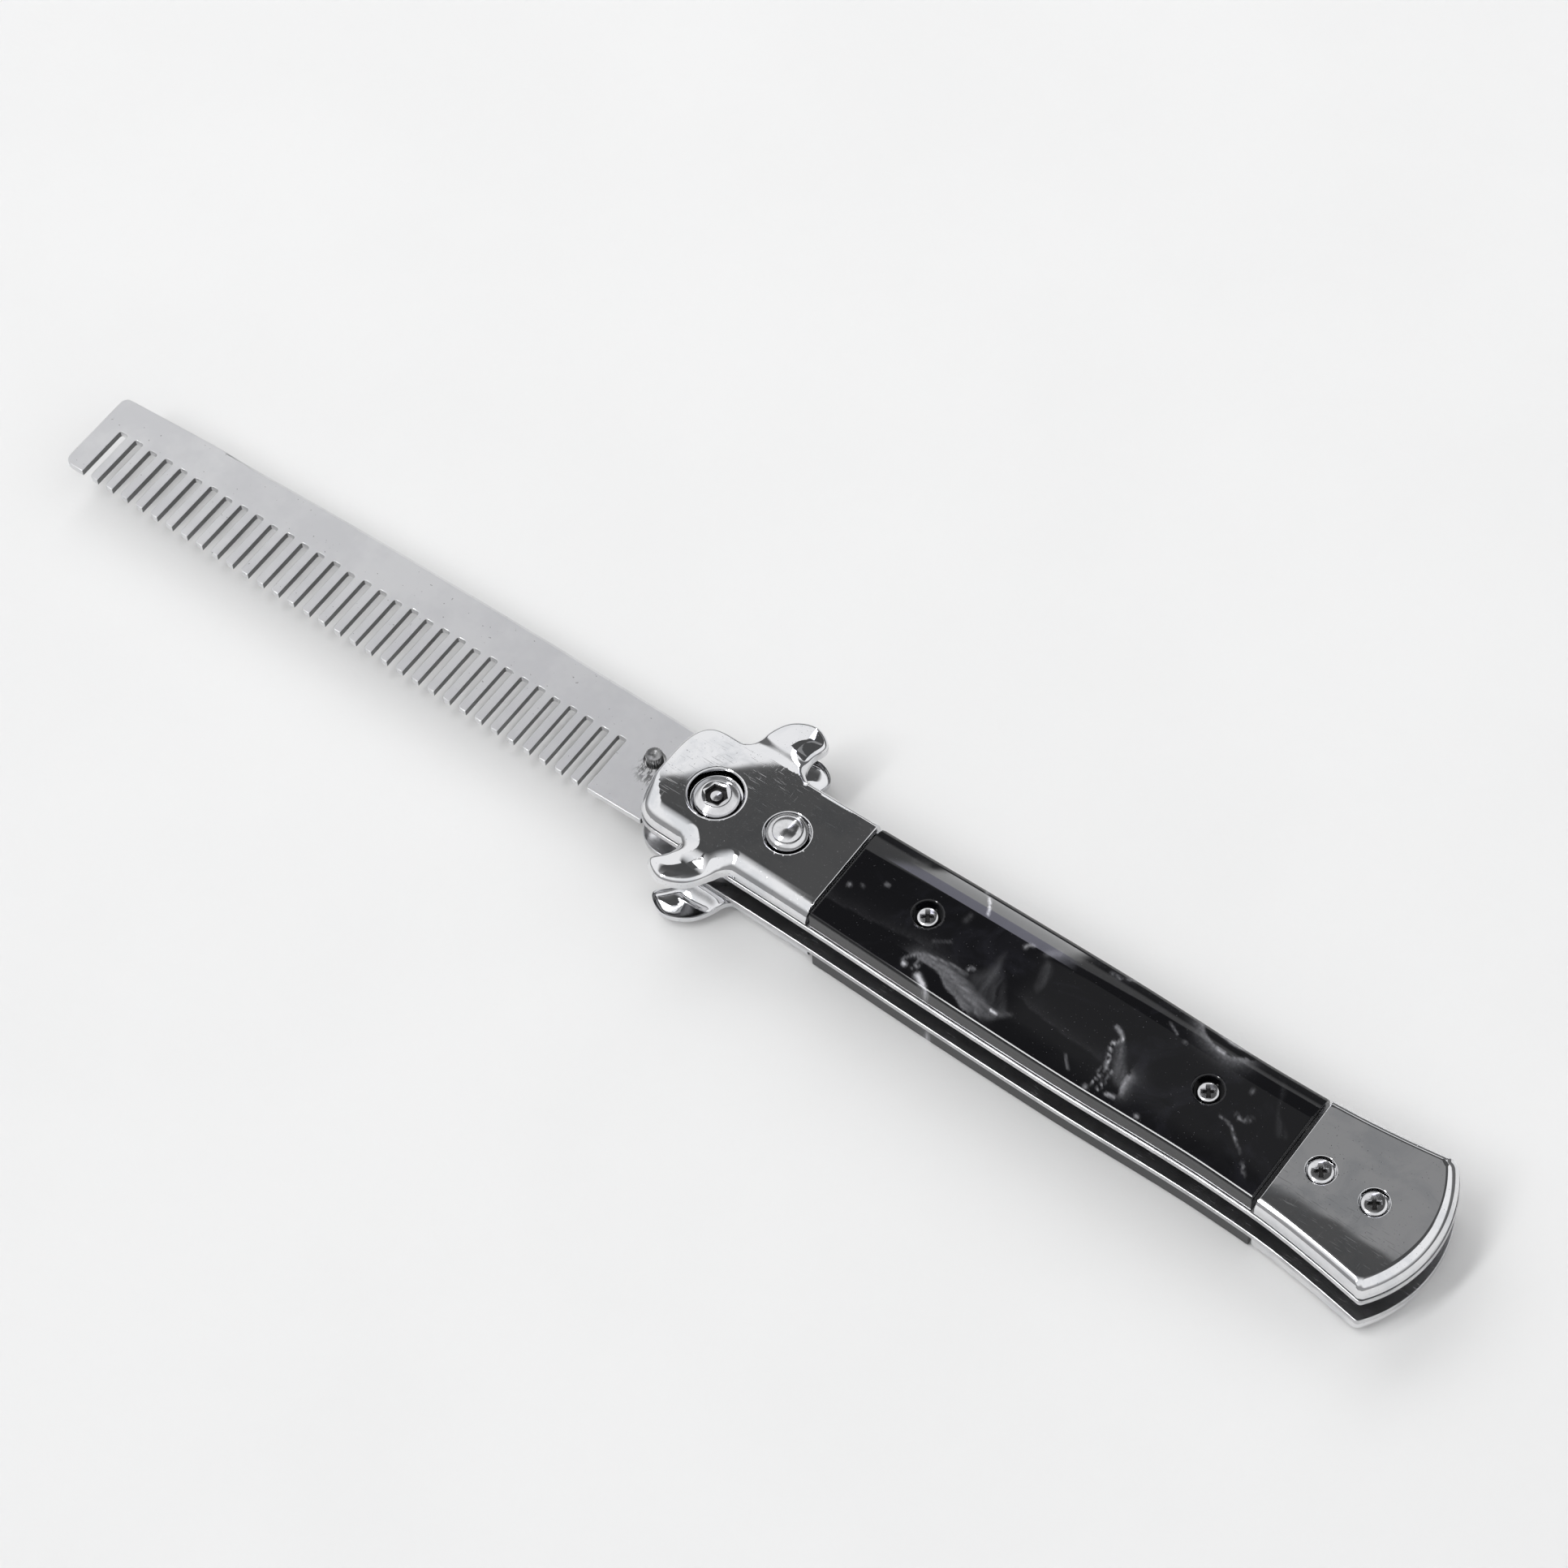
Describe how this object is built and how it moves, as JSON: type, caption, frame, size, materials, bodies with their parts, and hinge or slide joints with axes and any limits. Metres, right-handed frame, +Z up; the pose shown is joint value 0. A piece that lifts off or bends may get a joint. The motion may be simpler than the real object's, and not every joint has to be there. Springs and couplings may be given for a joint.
{
  "type": "folding comb",
  "caption": "Folding steel comb that swings out of a slotted two-sided handle with polished bolsters, guard wings, black scales and a flared butt cap.",
  "frame": {"origin": "centre of the opened comb's outline, on the surface that it lies on", "axes": "+X from the comb's tip to the handle's butt, +Y from the teeth to the comb's back, +Z up out of the front side"},
  "size_m": [0.2308, 0.032, 0.0149],
  "materials": {
    "comb_steel": "satin stamped steel",
    "polished_steel": "mirror polished",
    "liner_steel": "ground edges",
    "inner_steel": "dark oiled",
    "screw_steel": "bright turned",
    "black_acrylic": "polished black with smoky pearl wisps"
  },
  "bodies": {
    "handle": {"liner_front": "liner_steel", "liner_back": "liner_steel", "bolster_front": "polished_steel", "bolster_back": "polished_steel", "scale_front": "black_acrylic", "scale_back": "black_acrylic", "pommel_front": "polished_steel", "pommel_back": "polished_steel", "back_spacer": "inner_steel", "pivot_screw": "screw_steel", "pivot_nut": "screw_steel", "pivot_washer_front": "inner_steel", "pivot_washer_back": "inner_steel", "scale_screw_front_1": "screw_steel", "scale_screw_front_2": "screw_steel", "scale_screw_back_1": "screw_steel", "scale_screw_back_2": "screw_steel", "pommel_screw_front_1": "screw_steel", "pommel_screw_front_2": "screw_steel", "pommel_screw_back_1": "screw_steel", "pommel_screw_back_2": "screw_steel", "push_button": "screw_steel"},
    "comb": {"comb_blade": "comb_steel", "comb_pin": "comb_steel"}
  },
  "joints": [
    {"name": "comb_pivot", "type": "hinge", "parent": "handle", "child": "comb", "pos_m": [-0.0015, -0.0012, 0.00715], "axis": [0, 0, 1], "range_deg": [0, 180]}
  ]
}
